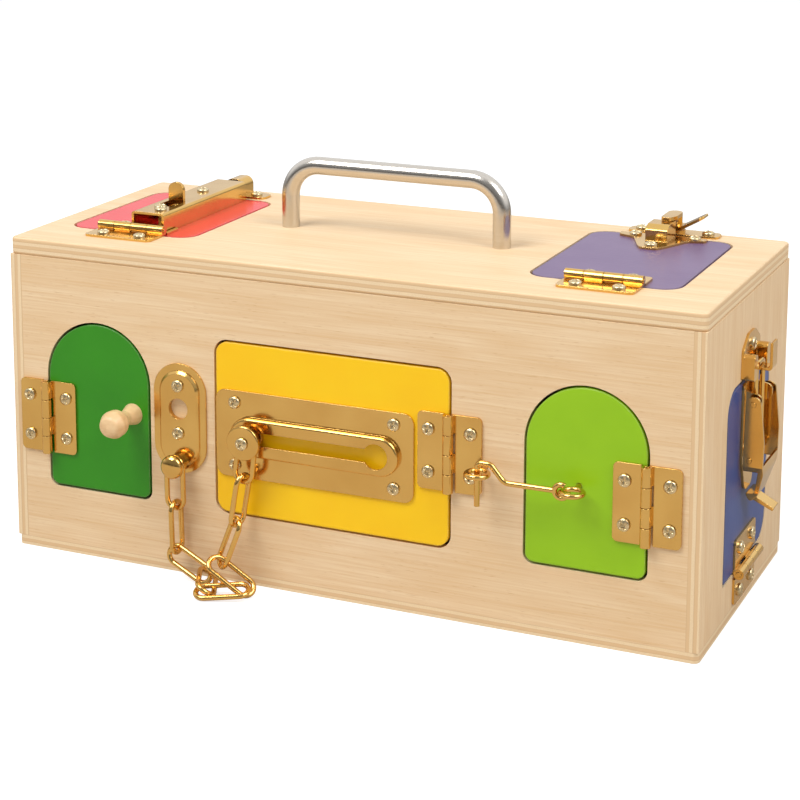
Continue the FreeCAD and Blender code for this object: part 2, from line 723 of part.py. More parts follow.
anchor = body("anchor_plate")
wide, tall, rim = size("anchor_width") / 2, size("anchor_height") / 2, size("anchor_rim")
draw = sketch(anchor, "rim")
stadium(draw, 0, 0, wide, tall)
pad(anchor, draw, "Sizes.anchor_ply")
draw = sketch(anchor, "dome")
stadium(draw, 0, 0, wide - rim, tall - rim)
pad(anchor, draw, "Sizes.anchor_ply + Sizes.anchor_dome")
face_level = size("anchor_ply") + size("anchor_dome")
soften(anchor, lambda edge: edge.BoundBox.ZMin > face_level - 0.01, "1.2", "Chamfer")
draw = sketch(anchor, "holes")
circles(draw, "Sizes.screw_shank + Sizes.screw_play", [(0, 16.8), (0, -7)])
circles(draw, "Sizes.stud_post / 2 + Sizes.screw_play", [(0, -size("stud_drop"))])
circles(draw, "5.2", [(0, 5.2)])
pocket(anchor, draw)
mount(anchor, "front", "Sizes.anchor_place", "Sizes.anchor_level")

post, stud_head = size("stud_post"), size("stud_head")
link_r = size("link_wire")
seat = face_level + 2.6
link_out = seat + link_r + 0.35
hold = link_out + link_r + 0.35
stud = turning("anchor_stud", [(0, -size("screw_reach")), (post / 2, -size("screw_reach")),
                               (post / 2, face_level), (post + 2, face_level),
                               (post + 2, seat), (post, seat), (post, hold),
                               (stud_head, hold), (stud_head, hold + 1.2),
                               (stud_head - 0.8, hold + 1.6), (stud_head - 0.8, hold + 2.2),
                               (stud_head * 0.55, hold + 3.8), (0, hold + 4.2)], False)
stud.Placement = spot("front", anchor_x, anchor_z - size("stud_drop"))

track = body("track_plate")
draw = sketch(track, "outline")
flat_x, flat_y = size("track_length") / 2, size("track_height") / 2
loop(draw, [(-flat_x, -flat_y, 5), (flat_x, -flat_y, 5), (flat_x, flat_y, 5),
            (-flat_x, flat_y, 5)])
pad(track, draw, "Sizes.track_ply")
slot_y = size("slot_level") - track_mid_z
slot_from = size("slot_left") - track_mid_x
slot_to = slot_from + size("slot_run")
rib, ply = size("track_rib") + 1, size("track_ply")
rib_x = (slot_to - slot_from) / 2 + 11.3
rib_middle = (slot_from + slot_to) / 2
draw = sketch(track, "rib")
stadium(draw, rib_middle, slot_y, rib_x, rib)
pad(track, draw, "Sizes.track_rise")
soften(track, lambda edge: edge.BoundBox.ZMin > size("track_rise") - 0.01, "1.4")
draw = sketch(track, "channel")
stadium(draw, rib_middle, slot_y, rib_x - 1.6, rib - 1.6)
pocket(track, draw, "Sizes.track_rise - Sizes.track_ply", back=True)
draw = sketch(track, "slot")
stadium(draw, rib_middle, slot_y, (slot_to - slot_from) / 2 + size("slot_width") / 2,
        size("slot_width") / 2)
pocket(track, draw)
draw = sketch(track, "keyhole")
circles(draw, "Sizes.keyhole_radius", [(slot_to, slot_y)])
pocket(track, draw)
draw = sketch(track, "screw_holes")
circles(draw, "Sizes.screw_shank + Sizes.screw_play",
        [(i * track_screw_x, j * track_screw_z) for i in (-1, 1) for j in (-1, 1)])
pocket(track, draw)
track.Placement = spot("front", track_mid_x, track_mid_z)

post_b = size("slot_width") / 2 - size("button_play")
lip = size("track_rise") + 0.3
foot = size("track_rise") - ply
button_out = lip + 1.6 + link_r
disc_out = button_out + link_r + 0.35
button = turning("track_button", [(0, 0.4), (size("keyhole_radius") - 1, 0.4),
                                  (size("keyhole_radius") - 1, foot - 0.4),
                                  (post_b, foot - 0.4), (post_b, disc_out),
                                  (post_b + 1.8, disc_out), (post_b + 1.8, disc_out + 0.9),
                                  (size("button_radius") - 1, disc_out + 0.9),
                                  (size("button_radius") - 1, disc_out + 1.8),
                                  (size("button_radius"), disc_out + 1.8),
                                  (size("button_radius"), disc_out + 3.6, 0.8),
                                  (0, disc_out + 4)], False)
button.Placement = spot("front", size("slot_left"), size("slot_level"))

link = master("chain_link")
long_half = size("link_length") / 2 - link_r
wide_half = size("link_width") / 2 - link_r
spine = sketch(link, "path")
spine.addGeometry(Part.LineSegment(V(0, -wide_half, 0), V(long_half - wide_half, -wide_half, 0)),
                  False)
spine.addGeometry(Part.Arc(V(long_half - wide_half, -wide_half, 0), V(long_half, 0, 0),
                           V(long_half - wide_half, wide_half, 0)), False)
spine.addGeometry(Part.LineSegment(V(long_half - wide_half, wide_half, 0),
                                   V(wide_half - long_half, wide_half, 0)), False)
spine.addGeometry(Part.Arc(V(wide_half - long_half, wide_half, 0), V(-long_half, 0, 0),
                           V(wide_half - long_half, -wide_half, 0)), False)
spine.addGeometry(Part.LineSegment(V(wide_half - long_half, -wide_half, 0),
                                   V(0, -wide_half, 0)), False)
disc = sketch(link, "section", "YZ_Plane")
circles(disc, "Sizes.link_wire", [(-wide_half, 0)])
doc.recompute()
bend_link = link.newObject("PartDesign::AdditivePipe", "chain_link_sweep")
bend_link.Profile = disc
bend_link.Spine = spine
doc.recompute()

# The slack chain lies in a heap below its two posts. For each link: how far its middle is
# from the post across, back and up, in link lengths, then its heading, tilt and roll.
ANCHOR_LINKS = [(0.007, -0.005, -0.307, -13, -89, 169),
                (0.029, -0.013, -1.100, -17, -88, 75),
                (0.321, -0.077, -1.714, -7, -23, 170),
                (0.743, -0.252, -1.896, -65, 0, 57)]
BUTTON_LINKS = [(-0.261, -0.471, -2.564, 22, 4, 107),
                (-0.207, -0.243, -2.368, -175, 33, -121),
                (-0.304, -0.111, -1.825, 14, 70, 125),
                (-0.125, -0.036, -1.061, 20, 81, 56),
                (-0.029, -0.014, -0.275, 12, 84, 167)]
front_y = -size("box_depth") / 2


def chain_half(label, across, level, out, links):
    """One half of the chain: the link that hangs on a post, and those that follow it."""
    places = []
    for right, back, up, heading, tilt, roll in links:
        middle = V(across, front_y - out, level) + V(right, back, up) * size("link_length")
        places.append(FreeCAD.Placement(middle, FreeCAD.Rotation(heading, -tilt, roll - 90)))
    return group(label, link, places)


chain_half("chain_anchor_links", anchor_x, anchor_z - size("stud_drop"), link_out,
           ANCHOR_LINKS)
chain_half("chain_button_links", size("slot_left"), size("slot_level"), button_out,
           BUTTON_LINKS)

# Hook and eyes: two screw eyes of bent wire and a hook that turns on the door's eye


def primitive(kind, label, **ties):
    """A Part primitive with its sizes tied to the sheet."""
    made = doc.addObject("Part::" + kind, label)
    for name, tie in ties.items():
        made.setExpression(name, tie)
    return made


def fuse(label, pieces, place=None):
    """Several primitives joined into one piece."""
    made = doc.addObject("Part::MultiFuse", label)
    made.Label = label
    made.Shapes = pieces
    if place is not None:
        made.Placement = place
    PARTS.append(made)
    return made


def eye(label, across, level):
    """A screw eye whose ring lies level, out from the front."""
    ring = primitive("Torus", label + "_ring", Radius1="Sizes.eye_ring",
                     Radius2="Sizes.eye_wire")
    ring.Placement = FreeCAD.Placement(V(0, 0, size("eye_stand")),
                                       FreeCAD.Rotation(V(1, 0, 0), 90))
    stem = primitive("Cylinder", label + "_stem", Radius="Sizes.eye_wire",
                     Height="Sizes.eye_stand - Sizes.eye_ring + Sizes.screw_reach")
    stem.setExpression("Placement.Base.z", "-Sizes.screw_reach")
    return fuse(label, [ring, stem], spot("front", across, level))


eye("frame_eye", size("frame_eye_place"), size("frame_eye_level"))
eye("door_eye", size("door_eye_place"), size("door_eye_level"))

hook = body("door_hook")
pivot_x = size("door_eye_place") - size("eye_ring")
pin_x = size("frame_eye_place") - pivot_x
top_z = size("frame_eye_level") - size("door_eye_level") + size("eye_wire") + 4.2
loop_r = size("hook_loop")
wire(hook, [(-loop_r, 0), (pin_x + 13, 0, 5), (pin_x + 6.5, top_z, 3.5), (pin_x, top_z, 2.2),
            (pin_x, top_z - 5.5 - size("hook_pin"))], "Sizes.hook_wire",
     "XZ_Plane", "YZ_Plane")
ring = sketch(hook, "loop")
circles(ring, "Sizes.hook_wire", [(loop_r, 0)])
coil = hook.newObject("PartDesign::Revolution", "door_hook_loop")
coil.Profile = ring
coil.ReferenceAxis = (ring, ["V_Axis"])
coil.Angle = 300
doc.recompute()
hook.Placement = FreeCAD.Placement(V(pivot_x, front_y - size("eye_stand"),
                                     size("door_eye_level")), FreeCAD.Rotation())

# Slide bolt on the red lid: folded housing, round bolt with an upright tab, strap keeper

housing = body("bolt_housing")
across, tall, ply = size("bolt_width") / 2, size("bolt_height"), size("bolt_ply")
draw = sketch(housing, "channel", "XZ_Plane")
loop(draw, [(-across, 0, 0), (-across + ply, 0, 0), (-across + ply, tall - ply, 0.6),
            (across - ply, tall - ply, 0.6), (across - ply, 0, 0), (across, 0, 0),
            (across, tall, 1.6), (-across, tall, 1.6)])
pad(housing, draw, "Sizes.bolt_length", back=True)
leaf_end = lid_front - gap / 2 + size("leaf_reach") - size("bolt_front") + 0.4
draw = sketch(housing, "leaf_relief", "YZ_Plane")
loop(draw, [(-1, -1, 0), (leaf_end, -1, 0), (leaf_end, size("leaf_ply") + 0.3, 0),
            (-1, size("leaf_ply") + 0.3, 0)])
pocket(housing, draw)
slot_front = size("bolt_slot_front") - size("bolt_front")
slot_long = size("bolt_throw") + size("tab_ply") + 2 * size("bolt_play")
draw = sketch(housing, "tab_slot", lift="Sizes.bolt_height")
half_slot = size("tab_width") / 2 + size("bolt_play")
loop(draw, [(-half_slot, slot_front, 1), (half_slot, slot_front, 1),
            (half_slot, slot_front + slot_long, 1), (-half_slot, slot_front + slot_long, 1)])
pocket(housing, draw, "Sizes.bolt_ply + 1")
draw = sketch(housing, "screw_holes", lift="Sizes.bolt_height")
screw_back = size("housing_screw_back")
circles(draw, "Sizes.screw_shank + Sizes.screw_play",
        [(0, size("housing_screw_front")), (0, screw_back)])
pocket(housing, draw, "Sizes.bolt_ply + 1")
mount(housing, "top", "Sizes.bolt_place", "Sizes.bolt_front")

bolt = body("slide_bolt")
bolt_r = size("bolt_radius")
bolt_level = tall - ply - bolt_r - size("bolt_play")
tab_y = slot_front + slot_long - size("bolt_play") - size("tab_ply") / 2
bolt_from = tab_y - 2.6
bolt_to = keeper_y + size("keeper_reach") / 2 + 1 - size("bolt_front")
draw = sketch(bolt, "round", "XZ_Plane")
draw.AttachmentOffset = FreeCAD.Placement(V(0, 0, -bolt_to), FreeCAD.Rotation())
circles(draw, "Sizes.bolt_radius", [(0, bolt_level)])
pad(bolt, draw, bolt_to - bolt_from)
draw = sketch(bolt, "screw_slot")
narrow = size("screw_shank") + 0.45
slot_end = screw_back + size("bolt_throw")
loop(draw, [(-narrow, screw_back - narrow, narrow - 0.01),
            (narrow, screw_back - narrow, narrow - 0.01),
            (narrow, slot_end + narrow, narrow - 0.01),
            (-narrow, slot_end + narrow, narrow - 0.01)])
pocket(bolt, draw)
draw = sketch(bolt, "tab", "XZ_Plane")
draw.AttachmentOffset = FreeCAD.Placement(V(0, 0, -tab_y), FreeCAD.Rotation())
wide = size("tab_width") / 2
loop(draw, [(-wide, bolt_level, 0), (wide, bolt_level, 0),
            (wide, tall + size("tab_rise"), 4), (-wide, tall + size("tab_rise"), 4)])
tab = pad(bolt, draw, "Sizes.tab_ply", middle=True)
mount(bolt, "top", "Sizes.bolt_place", "Sizes.bolt_front")

keeper = body("bolt_keeper")
inner = bolt_r + size("bolt_play")
outer_k = inner + ply
foot_k = outer_k + size("keeper_foot")
high = bolt_level + inner
draw = sketch(keeper, "strap", "XZ_Plane")
loop(draw, [(-foot_k, 0, 0), (-inner, 0, 0), (-inner, high, inner * 0.8),
            (inner, high, inner * 0.8), (inner, 0, 0), (foot_k, 0, 0), (foot_k, ply, 0),
            (outer_k, ply, 0), (outer_k, high + ply, inner * 0.8 + 0.8),
            (-outer_k, high + ply, inner * 0.8 + 0.8), (-outer_k, ply, 0), (-foot_k, ply, 0)])
pad(keeper, draw, "Sizes.keeper_reach", middle=True)
soften(keeper, lambda edge: upright(edge) and abs(edge.CenterOfMass.x) > foot_k - 0.1, "4")
draw = sketch(keeper, "screw_holes")
circles(draw, "Sizes.screw_shank + Sizes.screw_play", [(-keeper_foot_x, 0), (keeper_foot_x, 0)])
pocket(keeper, draw, "Sizes.bolt_ply", back=True)
keeper.Placement = spot("top", size("bolt_place"), keeper_y)

# Cam latch on the purple lid: a keeper block on the lid, and a turning cam behind it that
# swings over the block's back edge


def ogee(draw, half_x, low, high, neck):
    """A plate outline with a drawn-out tip at each side and a round lobe at the front."""
    loop(draw, [(-half_x, high, 1), (-half_x, high - 5, 2), (-half_x * 0.62, high - 8, 4),
                (-neck, low + 5, 4), (-neck * 0.6, low, 3), (neck * 0.6, low, 3),
                (neck, low + 5, 4), (half_x * 0.62, high - 8, 4), (half_x, high - 5, 2),
                (half_x, high, 1)])


jaw = body("cam_keeper")
jaw_x = -2.3
jaw_back = purple_edge - 1.2
plate = sketch(jaw, "plate")
ogee(plate, 22, -29, 0, 7)
pad(jaw, plate, "Sizes.cam_plate")
block = sketch(jaw, "block", "YZ_Plane")
deep, high = size("jaw_depth"), size("jaw_height")
loop(block, [(-deep, 0, 0), (0, 0, 0), (0, high, 0.6), (-deep + 4, high, 3.5),
             (-deep, high - 2.2, 1.2)])
solid = pad(jaw, block, "Sizes.jaw_width", middle=True)
hollow = sketch(jaw, "hollow", "YZ_Plane")
wall_j = size("jaw_wall")
loop(hollow, [(-deep + wall_j, -1, 0), (1, -1, 0), (1, high - wall_j, 0),
              (-deep + 4, high - wall_j, 2), (-deep + wall_j, high - 2.8, 0.6)])
inside = jaw.newObject("PartDesign::Pocket", "cam_keeper_inside")
inside.Profile = hollow
inside.SideType = "Symmetric"
inside.setExpression("Length", "Sizes.jaw_width - 2 * Sizes.jaw_wall")
doc.recompute()
holes = sketch(jaw, "screw_holes")
circles(holes, "Sizes.screw_shank + Sizes.screw_play",
        [(-16 - jaw_x, -3.8), (14 - jaw_x, -3.8), (0, -23.8)])
pocket(jaw, holes, "Sizes.cam_plate", back=True)
jaw.Placement = spot("top", cam_x + jaw_x, jaw_back)

cam_base = body("cam_base")
draw = sketch(cam_base, "plate")
loop(draw, [(-23, -4.5, 2), (-13, -6, 4), (13, -6, 4), (23, -4.5, 2), (23, 4.5, 3),
            (13, 6, 4), (-13, 6, 4), (-23, 4.5, 3)])
pad(cam_base, draw, "Sizes.cam_plate")
draw = sketch(cam_base, "boss")
circles(draw, "Sizes.cam_hub", [(0, 0)])
pad(cam_base, draw, "Sizes.cam_plate + 1.2")
draw = sketch(cam_base, "post")
circles(draw, "Sizes.cam_post", [(0, 0)])
pad(cam_base, draw, "Sizes.jaw_height + 0.4")
draw = sketch(cam_base, "screw_holes")
circles(draw, "Sizes.screw_shank + Sizes.screw_play", [(-17, 0), (17, 0)])
pocket(cam_base, draw, "Sizes.cam_plate", back=True)
cam_base.Placement = spot("top", cam_x, cam_y)

cam = body("turn_cam")
cam_low = size("cam_plate") + 1.2 + size("cam_play")
cam_high = size("jaw_height") + size("cam_play")
draw = sketch(cam, "barrel")
draw.AttachmentOffset = FreeCAD.Placement(V(0, 0, cam_low), FreeCAD.Rotation())
circles(draw, "Sizes.cam_post + 1.5", [(0, 0)])
made = pad(cam, draw, "4")
made.setExpression("Length", "Sizes.jaw_height - Sizes.cam_plate - 0.2")
draw = sketch(cam, "arm")
draw.AttachmentOffset = FreeCAD.Placement(V(0, 0, cam_high), FreeCAD.Rotation())
loop(draw, [(-3.6, 3.6, 3.5), (3.6, 3.6, 3.5), (3.4, -9, 4), (1.2, -14.5, 1),
            (-3.4, -14.5, 2), (-3.6, -8, 4)])
pad(cam, draw, "1.8")
draw = sketch(cam, "thumb", "XZ_Plane")
thumb = size("cam_thumb")
loop(draw, [(1.5, cam_low + 0.6, 0), (4.6, cam_low + 0.6, 1.2), (thumb, cam_low + 7.2, 0.4),
            (thumb - 0.6, cam_low + 8.4, 0.4), (4.1, cam_low + 2.1, 1.2),
            (1.5, cam_low + 2.1, 0)])
pad(cam, draw, "11", middle=True)
corners = sketch(cam, "thumb_corners")
for sign in (-1, 1):
    near, out_y = sign * 2.2, sign * 6.5
    shape = [(thumb - 3.4, out_y, 0), (thumb + 1, out_y, 0), (thumb + 1, near, 0)]
    loop(corners, shape if sign > 0 else shape[::-1])
pocket(cam, corners)
draw = sketch(cam, "post_bore")
circles(draw, "Sizes.cam_post + Sizes.pin_play", [(0, 0)])
pocket(cam, draw, "Sizes.jaw_height + 0.4 + Sizes.cam_play", back=True)
cam.Placement = spot("top", cam_x, cam_y)

# Draw latch on the blue door: base with ears, lever, wire bail, and a hooked strike above

pivot_z, pivot_out = size("latch_pivot_level"), size("latch_pivot_stand")
half_w, ply = size("latch_width") / 2, size("latch_ply")
base = body("latch_base")
draw = sketch(base, "plate")
plate_top, plate_low = blue_top - 0.8, pivot_z - size("lever_length") + 5
loop(draw, [(-half_w + 3, plate_top, 3), (-half_w + 3, plate_low + 16, 10),
            (-6, plate_low, 5.5), (6, plate_low, 5.5), (half_w - 3, plate_low + 16, 10),
            (half_w - 3, plate_top, 3)])
pad(base, draw, "Sizes.latch_ply")
ears = sketch(base, "ears", "YZ_Plane")
loop(ears, [(pivot_z - 7, 0, 0), (pivot_z + 5, 0, 0), (pivot_z + 3, pivot_out + 3, 2.9),
            (pivot_z - 3, pivot_out + 3, 2.9)])
ear_out = half_w - 4.6
pad(base, ears, 2 * ear_out, middle=True)
pin = sketch(base, "pin", "YZ_Plane")
circles(pin, "Sizes.latch_pivot", [(pivot_z, pivot_out)])
pad(base, pin, 2 * half_w + 0.6, middle=True)
between = sketch(base, "between", "YZ_Plane")
loop(between, [(pivot_z - 12, ply, 0), (pivot_z + 12, ply, 0), (pivot_z + 12, 20, 0),
               (pivot_z - 12, 20, 0)])
made = base.newObject("PartDesign::Pocket", "latch_base_between")
made.Profile = between
made.SideType = "Symmetric"
made.Length = 2 * (ear_out - ply)
doc.recompute()
holes = sketch(base, "screw_holes")
circles(holes, "Sizes.screw_shank + Sizes.screw_play",
        [(-8, blue_top - 33), (8, blue_top - 33)])
pocket(base, holes, "Sizes.latch_ply", back=True)
mount(base, "right", "Sizes.latch_place")

lever = body("latch_lever")
far = -size("lever_length")
side = sketch(lever, "side", "YZ_Plane")
loop(side, [(3.4, -3.4, 3.3), (3.4, 3.4, 3.3), (-18, 5.6, 20), (-34, 5.2, 12),
            (far + 4, 1.5, 3), (far, -2.2, 1.5), (far + 4, -4.2, 2)])
pad(lever, side, 2 * half_w, middle=True)
cavity = sketch(lever, "cavity", "YZ_Plane")
loop(cavity, [(8, -9, 0), (8, 12, 0), (-27, 12, 0), (-30, 3.4, 2), (far + 5, 0, 1),
              (far + 3.4, -9, 0)])
made = lever.newObject("PartDesign::Pocket", "latch_lever_cavity")
made.Profile = cavity
made.SideType = "Symmetric"
made.Length = 2 * (half_w - ply)
doc.recompute()
narrowing = sketch(lever, "narrowing")
loop(narrowing, [(-half_w - 2, far - 3, 0), (-7, far - 3, 0), (-7, far + 4, 6),
                 (-half_w, far + 20, 8), (-half_w - 2, far + 24, 0)])
loop(narrowing, [(half_w + 2, far - 3, 0), (half_w + 2, far + 24, 0), (half_w, far + 20, 8),
                 (7, far + 4, 6), (7, far - 3, 0)])
pocket(lever, narrowing)
finger = sketch(lever, "finger", "YZ_Plane")
loop(finger, [(far + 7, 0.6, 0), (far + 1, -1.6, 0), (far - 3.5, 8.2, 0.5),
              (far - 2.2, 8.8, 0.5), (far + 2.6, 0, 1)])
pad(lever, finger, "9", middle=True)
bores = sketch(lever, "bores", "YZ_Plane")
circles(bores, "Sizes.latch_pivot + Sizes.pin_play", [(0, 0)])
circles(bores, "Sizes.bail_wire + Sizes.pin_play + 0.04",
        [(-size("bail_drop"), size("bail_stand") - pivot_out)])
pocket(lever, bores)
lever.Placement = spot("right", latch_y, pivot_z, pivot_out)

bail = body("latch_bail")
reach_b, span = size("bail_length"), size("bail_span") / 2
out_b = half_w + 0.3
wire(bail, [(-out_b, 0), (-span, 0, 2), (-span, reach_b, 3), (span, reach_b, 3),
            (span, 0, 2), (out_b, 0)], "Sizes.bail_wire", "XY_Plane", "YZ_Plane")
bail.Placement = spot("right", latch_y, pivot_z - size("bail_drop"), size("bail_stand"))

striker = body("latch_strike")
bar_level = pivot_z - size("bail_drop") + reach_b
draw = sketch(striker, "plate")
loop(draw, [(-half_w, strike_level, 2), (half_w, strike_level, 2),
            (half_w, strike_level + 14, 3), (5.5, strike_level + 20, 3),
            (-5.5, strike_level + 20, 3), (-half_w, strike_level + 14, 3)])
pad(striker, draw, "Sizes.latch_ply")
for sign in (-1, 1):
    draw = sketch(striker, "shoulder%d" % (sign + 1))
    a, b = sorted((sign * (half_w - 6), sign * half_w))
    loop(draw, [(a, strike_level, 0.8), (b, strike_level, 0.8), (b, strike_level + 12, 2.4),
                (a, strike_level + 12, 2.4)])
    pad(striker, draw, "Sizes.latch_ply + 5")
draw = sketch(striker, "hook", "YZ_Plane")
shelf = bar_level - size("bail_wire") - 0.3
far_out = size("hook_stand")
loop(draw, [(shelf - ply, 0, 0), (shelf, 0, 0), (shelf, far_out - ply, 1.2),
            (shelf + size("hook_rise"), far_out - ply, 0.3),
            (shelf + size("hook_rise"), far_out, 0.3), (shelf - ply, far_out, 2)])
pad(striker, draw, "8.4", middle=True)
holes = sketch(striker, "screw_hole")
circles(holes, "Sizes.screw_shank + Sizes.screw_play", [(0, strike_level + 14)])
pocket(striker, holes, "Sizes.latch_ply", back=True)
mount(striker, "right", "Sizes.latch_place")

# Check and write


def write_parts():
    """Stops on any failed object or shape, then writes each piece as a STEP file."""
    doc.recompute()
    for made in doc.Objects:
        if "Invalid" in made.State or "Error" in made.State:
            raise ValueError(made.Label + " failed to build")
    for made in PARTS:
        if made.Shape.isNull() or not made.Shape.isValid():
            raise ValueError(made.Label + " has no valid shape")
    os.makedirs("parts", exist_ok=True)
    for made in PARTS:
        made.Shape.exportStep(os.path.join("parts", made.Label + ".step"))
    print(len(PARTS), "pieces written")


write_parts()
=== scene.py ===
import math
import bmesh
import bpy
import numpy as np
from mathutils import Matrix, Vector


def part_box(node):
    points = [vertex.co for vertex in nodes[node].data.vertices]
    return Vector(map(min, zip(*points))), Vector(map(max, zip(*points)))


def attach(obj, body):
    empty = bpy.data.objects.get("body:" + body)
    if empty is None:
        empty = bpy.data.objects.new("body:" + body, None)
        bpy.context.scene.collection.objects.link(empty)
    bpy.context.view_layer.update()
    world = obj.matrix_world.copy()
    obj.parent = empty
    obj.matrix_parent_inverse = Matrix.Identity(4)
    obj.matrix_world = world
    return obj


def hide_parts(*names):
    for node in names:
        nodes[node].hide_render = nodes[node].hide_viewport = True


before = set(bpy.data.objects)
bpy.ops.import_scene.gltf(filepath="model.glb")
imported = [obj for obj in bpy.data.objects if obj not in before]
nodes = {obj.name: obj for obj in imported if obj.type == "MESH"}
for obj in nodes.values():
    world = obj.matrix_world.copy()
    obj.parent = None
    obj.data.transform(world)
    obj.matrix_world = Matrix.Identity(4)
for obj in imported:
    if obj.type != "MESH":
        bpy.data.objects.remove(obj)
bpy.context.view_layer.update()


# Plywood case: six birch-faced boards glued edge to face, sanded and left bare. The faces show
# fine grain with a faint cathedral figure, and the cut edges show the layers of the ply.

def linear(text):
    """An sRGB hex colour as the linear values that a material takes."""
    parts = np.array([int(text[place:place + 2], 16) / 255 for place in (1, 3, 5)])
    values = np.where(parts <= 0.04045, parts / 12.92, ((parts + 0.055) / 1.055) ** 2.4)
    return [*values.tolist(), 1.0]


def add(tree, kind, inputs, **settings):
    """A node with its settings; each input is a value or the socket that feeds it."""
    made = tree.nodes.new("ShaderNode" + kind)
    for name, value in settings.items():
        setattr(made, name, value)
    for name, value in inputs.items():
        if isinstance(value, bpy.types.NodeSocket):
            tree.links.new(value, made.inputs[name])
        else:
            made.inputs[name].default_value = value
    return made


def new_finish(name):
    """An empty material with its node tree, surface output and coordinates node."""
    made = bpy.data.materials.new(name)
    made.use_nodes = True
    tree = made.node_tree
    tree.nodes.clear()
    return made, tree, add(tree, "OutputMaterial", {}), add(tree, "TexCoord", {})


def wear(material, *names):
    """Gives CAD nodes this finish through their objects' own material slots."""
    for name in names:
        for place in nodes[name].material_slots:
            place.link = "OBJECT"
            place.material = material


VENEER, VENEER_DARK, VENEER_LINE = "#f1d7b2", "#e0ba89", "#c99c68"
PLY_LIGHT, PLY_DARK, GLUE = "#f0d8b2", "#e3c195", "#cda87b"
LAYER = 0.0034                          # two veneers of the core, one light and one dark
LAYER_DRIFT = 0.0004                    # how far a layer wanders
STREAK, STREAK_LONG = 0.0009, 0.045     # a streak's width and length
PORE, PORE_LONG = 0.0004, 0.006         # a pore's width and length
FIGURE, FIGURE_DRAWN = 0.016, 0.16      # the figure's spacing, and its scale along the grain


